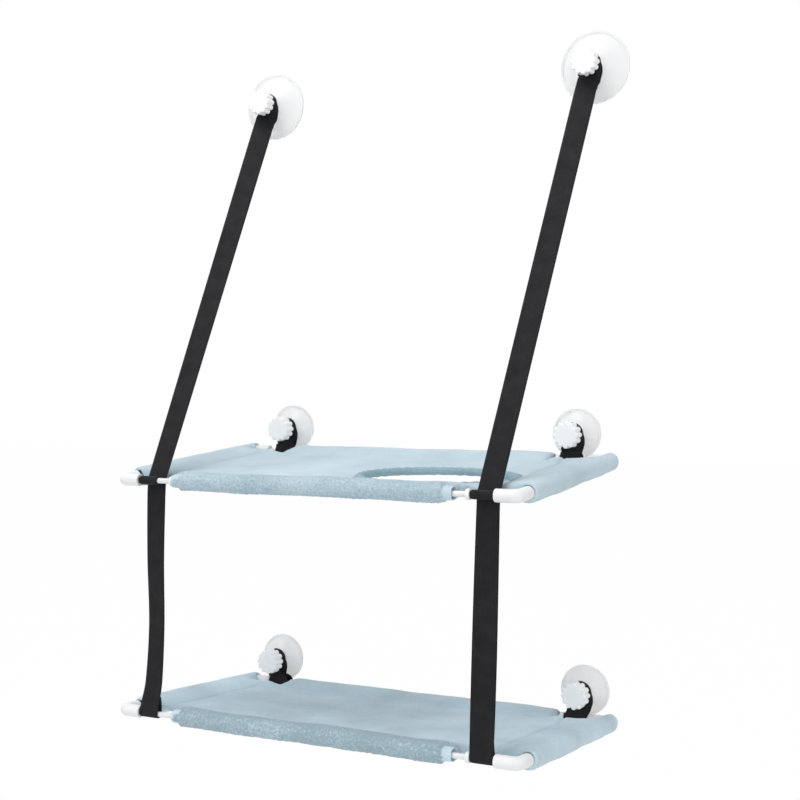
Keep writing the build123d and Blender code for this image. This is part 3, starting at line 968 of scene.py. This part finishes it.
def ribbon(name, keys, steps=6, closed=False, points_across=18):
    """Webbing through keys: each holds a place, the way its width lies, its half width and half
    thickness, and how deep its pleats are. UVs hold distances across and along it in metres."""
    if closed:
        keys = keys + [keys[0]]
    rows_in = smooth_path(keys, steps)
    if closed:
        rows_in = rows_in[:-1]
    places = rows_in[:, 0:3]
    ways = rows_in[:, 3:6]
    if closed:
        tangents = np.roll(places, -1, axis=0) - np.roll(places, 1, axis=0)
    else:
        tangents = np.gradient(places, axis=0)
    tangents /= np.linalg.norm(tangents, axis=1)[:, None]
    ways = ways - tangents * np.sum(ways * tangents, axis=1)[:, None]
    ways /= np.linalg.norm(ways, axis=1)[:, None]
    normals = np.cross(tangents, ways)
    lengths = np.concatenate([[0], np.cumsum(np.linalg.norm(np.diff(places, axis=0), axis=1))])
    shares = np.linspace(-1, 1, points_across + 1)
    edge = np.clip(1 - np.abs(shares) ** 14, 0, 1)
    loop_shares = np.concatenate([shares, shares[-2:0:-1]])
    loop_sides = np.concatenate([edge, -edge[-2:0:-1]])
    count = len(loop_shares)
    points = []
    marks_uv = []
    for i in range(len(places)):
        half, thick, pleat = rows_in[i, 6:9]
        folds = pleat * np.sin(loop_shares * math.pi * 2.5 + 0.6)
        ring = (
            places[i]
            + ways[i] * (loop_shares * half)[:, None]
            + normals[i] * (loop_sides * thick + folds)[:, None]
        )
        points.extend(ring)
        marks_uv.extend((share * web_half, lengths[i]) for share in loop_shares)
    faces = ring_faces(len(places), count, closed=closed)
    if not closed:
        faces += [tuple(range(count)), tuple((len(places) - 1) * count + j for j in range(count))]
    made = mesh_piece(name, points, faces)
    layer = made.data.uv_layers.new(name="webbing")
    for loop in made.data.loops:
        layer.data[loop.index].uv = marks_uv[loop.vertex_index]
    made.data.shade_smooth()
    return made


def key(place, way, half=web_half, thick=web_half_thick, pleat=0.0):
    """One key of a ribbon."""
    return [*place, *way, half, thick, pleat]


def neck_keys(x, y, z):
    """Keys round a cup's neck, from the foot of the left leg over the top to the foot of the right.
    The webbing stands on edge there and flares over the cup's shoulder, away from the knob."""
    y += flare_setback
    legs = (
        (4.6, -0.6, -13.4, 0.93, 0.37, 11.0, 0.7),
        (9.4, -0.3, -9.4, 0.80, 0.60, 6.6, 0.6),
        (11.6, 0.0, -4.6, 0.50, 0.87, 4.8, 0.3),
    )
    made = []
    for out, front, up, wide, deep, half, pleat in legs:
        spot = (x - out * mm, y + front * mm, z + up * mm)
        made.append(key(spot, (wide, -deep, 0), half * mm, gather_thick, pleat * mm))
    for k in range(7):
        turn = math.pi * (1 - k / 6)
        spot = (x + neck_loop * math.cos(turn), y, z + neck_loop * math.sin(turn))
        way = (-flare_share * math.cos(turn), -1, -flare_share * math.sin(turn))
        made.append(key(spot, way, gather_half, gather_thick, 0.2 * mm))
    for out, front, up, wide, deep, half, pleat in reversed(legs):
        spot = (x + (out + 0.6) * mm, y - (front - 0.4) * mm, z + (up - 0.4) * mm)
        made.append(key(spot, (-wide, -deep, 0), half * mm, gather_thick, pleat * mm))
    return made


# Weave: cords side by side along the webbing, crossed by picks, as a height and as a tone. The tone is
# painted shade in the weave's hollows and painted highlight on the cord crowns, mixed with the yarn's own
# random mottling. The picks of one cord lie half a step from those of the next.
weave, weave_in, weave_out = new_group(
    "webbing_weave",
    {
        "Place": ("NodeSocketVector", None),
        "Cord Width": ("NodeSocketFloat", 1.3 * mm),
        "Pick Length": ("NodeSocketFloat", 1.9 * mm),
    },
    {"Height": "NodeSocketFloat", "Tone": "NodeSocketFloat"},
)
weave_place = node(weave, "ShaderNodeSeparateXYZ", {0: weave_in["Place"]}).outputs
cords = maths(weave, "DIVIDE", weave_place["X"], weave_in["Cord Width"])
picks = maths(weave, "DIVIDE", weave_place["Y"], weave_in["Pick Length"])
cord_round = maths(weave, "ABSOLUTE", maths(weave, "SINE", maths(weave, "MULTIPLY", cords, math.pi)))
odd_cord = maths(weave, "MULTIPLY", maths(weave, "FLOOR", cords), 0.5)
pick_wave = maths(weave, "SINE", maths(weave, "MULTIPLY", maths(weave, "ADD", picks, odd_cord), 2 * math.pi))
pick_round = maths(weave, "ADD", maths(weave, "MULTIPLY", pick_wave, 0.3), 0.7)
weave_height = maths(weave, "MULTIPLY", cord_round, pick_round)
yarn_noise = node(weave, "ShaderNodeTexNoise", {"Vector": weave_in["Place"], "Scale": 60.0, "Detail": 4.0})
weave_tone_and_shade = maths(
    weave, "ADD", maths(weave, "MULTIPLY", weave_height, 0.45),
    maths(weave, "MULTIPLY", yarn_noise.outputs["Fac"], 0.55),
)
weave.links.new(weave_height, weave_out["Height"])
weave.links.new(weave_tone_and_shade, weave_out["Tone"])

webbing, tree, shader = finish_of(
    "black_webbing", web_light, 0.62, Sheen_Weight=0.02, Sheen_Roughness=0.4, Specular_IOR_Level=0.12
)
woven = use_group(tree, weave, {"Place": node(tree, "ShaderNodeUVMap", uv_map="webbing").outputs["UV"]})
# The webbing's colour takes the weave's painted shade and highlight together with its random yarn tone.
web_tone_and_shade = tone_between(tree, woven["Tone"], web_dark, web_light, 0.3, 0.75)
tree.links.new(web_tone_and_shade, shader.inputs["Base Color"])
tree.links.new(rough_between(tree, woven["Tone"], 0.75, 0.55), shader.inputs["Roughness"])
bump_into(tree, shader, woven["Height"], 0.25 * mm, 0.8)


def place_strap(piece, node_name):
    """Dresses a strap and lets it stand for its CAD node."""
    piece.data.materials.append(webbing)
    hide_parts(node_name)
    return piece


def cup_neck(place):
    """The middle of a cup's neck, from its knob's box: the neck ends where the knob begins."""
    low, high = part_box(f"cup_knob_{place}")
    return (low.x + high.x) / 2, high.y + neck_setback, (low.z + high.z) / 2


# How far each strap turns about its length towards its top, and its lower end.
strap_turns = {"left": math.radians(26), "right": math.radians(10)}
drop_turns = {"left": math.radians(-10), "right": math.radians(16)}
layer_gap = web_half_thick + 0.1 * mm


def turned_way(down, turn):
    """The width's direction of a strap that runs down, turned from X about the vertical."""
    way = Vector((math.cos(turn), math.sin(turn), 0))
    return (way - down * way.dot(down)).normalized()


def square_to(down, wide):
    """The direction out of a strap's face, towards the room."""
    out = down.cross(wide)
    return out if out.y < 0 else -out


for hand, side in hands.items():
    neck_x, neck_y, neck_z = cup_neck(f"top_{hand}")
    low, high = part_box(f"front_tab_{hand}")
    strap_x = (low.x + high.x) / 2
    rail_y = low.y + rail_wrap + web_half_thick
    rail_z = (low.z + high.z) / 2
    junction = Vector((strap_x, rail_y + junction_setback, rail_z))
    foot = Vector((neck_x, neck_y, neck_z - gather_foot))
    down = (junction - foot).normalized()
    run_keys = []
    for share in (0, 0.02, 0.25, 0.5, 0.75, 0.93, 0.978, 0.998):
        wide = turned_way(down, strap_turns[hand] * share)
        front_layer = square_to(down, wide) * (layer_gap * share)
        half = web_half if share < 0.95 else half_at_neck
        run_keys.append(key(junction.lerp(foot, share) + front_layer, wide, half))
    run_keys += neck_keys(neck_x, neck_y, neck_z)
    for run_back in (1 * mm, 5 * mm, 10 * mm, 14 * mm):
        back_wide = turned_way(down, strap_turns[hand])
        back_layer = square_to(down, back_wide) * -layer_gap
        run_keys.append(key(foot + back_layer + down * run_back, -back_wide, half_of_lap))
    upper_run = ribbon(f"{hand}_strap_upper_run", run_keys, steps=8)
    place_strap(upper_run, f"front_strap_{hand}_upper")
    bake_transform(upper_run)

    low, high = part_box("lower_front_rail")
    lower_y = (low.y + high.y) / 2
    lower_z = (low.z + high.z) / 2
    drop = [key(junction + Vector((0, 0, -0.8 * mm)), (1, 0, 0))]
    hang = Vector((strap_x, lower_y - rail_wrap, lower_z))
    bow = drop_bows[hand]
    for share in (0.1, 0.35, 0.62, 0.85, 0.94):
        spot = junction.lerp(hang, share)
        spot.y += bow * math.sin(math.pi * share**2.2)
        turn = drop_turns[hand] * math.sin(math.pi * share**1.6)
        drop.append(key(spot, (math.cos(turn), math.sin(turn), 0)))
    drop.append(key(hang + Vector((0, 0, 1.5 * mm)), (1, 0, 0)))
    for k in range(1, 5):
        turn = math.pi * k / 4
        spot = (strap_x, lower_y - rail_wrap * math.cos(turn), lower_z - rail_wrap * math.sin(turn))
        drop.append(key(spot, (1, 0, 0)))
    lap = junction.lerp(hang, lap_share)
    lap.y += bow * math.sin(math.pi * lap_share**2.2) + 2.0 * web_half_thick + 0.2 * mm
    drop.append(key(lap + Vector((0, 1.2 * mm, -6 * mm)), (1, 0, 0)))
    drop.append(key(lap + Vector((0, 0.1 * mm, 3 * mm)), (1, 0, 0)))
    lower_run = ribbon(f"{hand}_strap_lower_run", drop, steps=8)
    place_strap(lower_run, f"front_strap_{hand}_lower")
    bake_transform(lower_run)

    tab_keys = []
    for back, up in tab_legs:
        tab_keys.append(key((strap_x, rail_y + back, rail_z + up), (1, 0, 0)))
    for k in range(7):
        turn = math.pi * (k / 6 * 1.16 - 0.08)
        spot = (strap_x, rail_y - rail_wrap * math.sin(turn), rail_z + rail_wrap * math.cos(turn))
        tab_keys.append(key(spot, (1, 0, 0)))
    for back, up in reversed(tab_legs):
        tab_keys.append(key((strap_x, rail_y + back, rail_z - up), (1, 0, 0)))
    tab = ribbon(f"{hand}_rail_tab", tab_keys, steps=6)
    place_strap(tab, f"front_tab_{hand}")
    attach(tab, "upper_deck")


# Rear straps: one closed loop of the same webbing each, gathered on a small
# cup's neck at the top and flat round a rear rail at the bottom.
for deck in decks:
    low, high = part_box(f"{deck}_rear_rail")
    rear_y = (low.y + high.y) / 2
    rear_z = (low.z + high.z) / 2
    for hand in hands:
        neck_x, neck_y, neck_z = cup_neck(f"{deck}_{hand}")
        low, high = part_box(f"rear_strap_{deck}_{hand}")
        rail_x = low.x + web_half if hand == "right" and deck == "lower" else high.x - web_half
        if deck == "upper":
            rail_x = (low.x + high.x) / 2
        foot_z = neck_z - gather_foot
        ring = [key((rail_x, rear_y + rail_wrap, rear_z + 3.2 * mm), (1, 0, 0))]
        for k in range(5):
            turn = math.pi * k / 4
            spot = (rail_x, rear_y + rail_wrap * math.cos(turn), rear_z - rail_wrap * math.sin(turn))
            ring.append(key(spot, (1, 0, 0)))
        front_foot = (neck_x, neck_y - layer_gap, foot_z)
        ring.append(key(front_foot, (1, 0, 0), 12 * mm, web_half_thick, 0.3 * mm))
        ring += neck_keys(neck_x, neck_y, neck_z)
        back_foot = (neck_x, neck_y + layer_gap, foot_z)
        ring.append(key(back_foot, (-1, 0, 0), 12 * mm, web_half_thick, 0.3 * mm))
        lap_y = rear_y + rail_wrap + 2 * layer_gap
        ring.append(key((rail_x, lap_y, rear_z + 4 * mm), (-1, 0, 0)))
        ring.append(key((rail_x, lap_y, rear_z + 1 * mm), (-1, 0, 0)))
        strap = ribbon(f"{deck}_{hand}_rear_strap", ring, steps=8)
        place_strap(strap, f"rear_strap_{deck}_{hand}")
        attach(strap, "window_side")
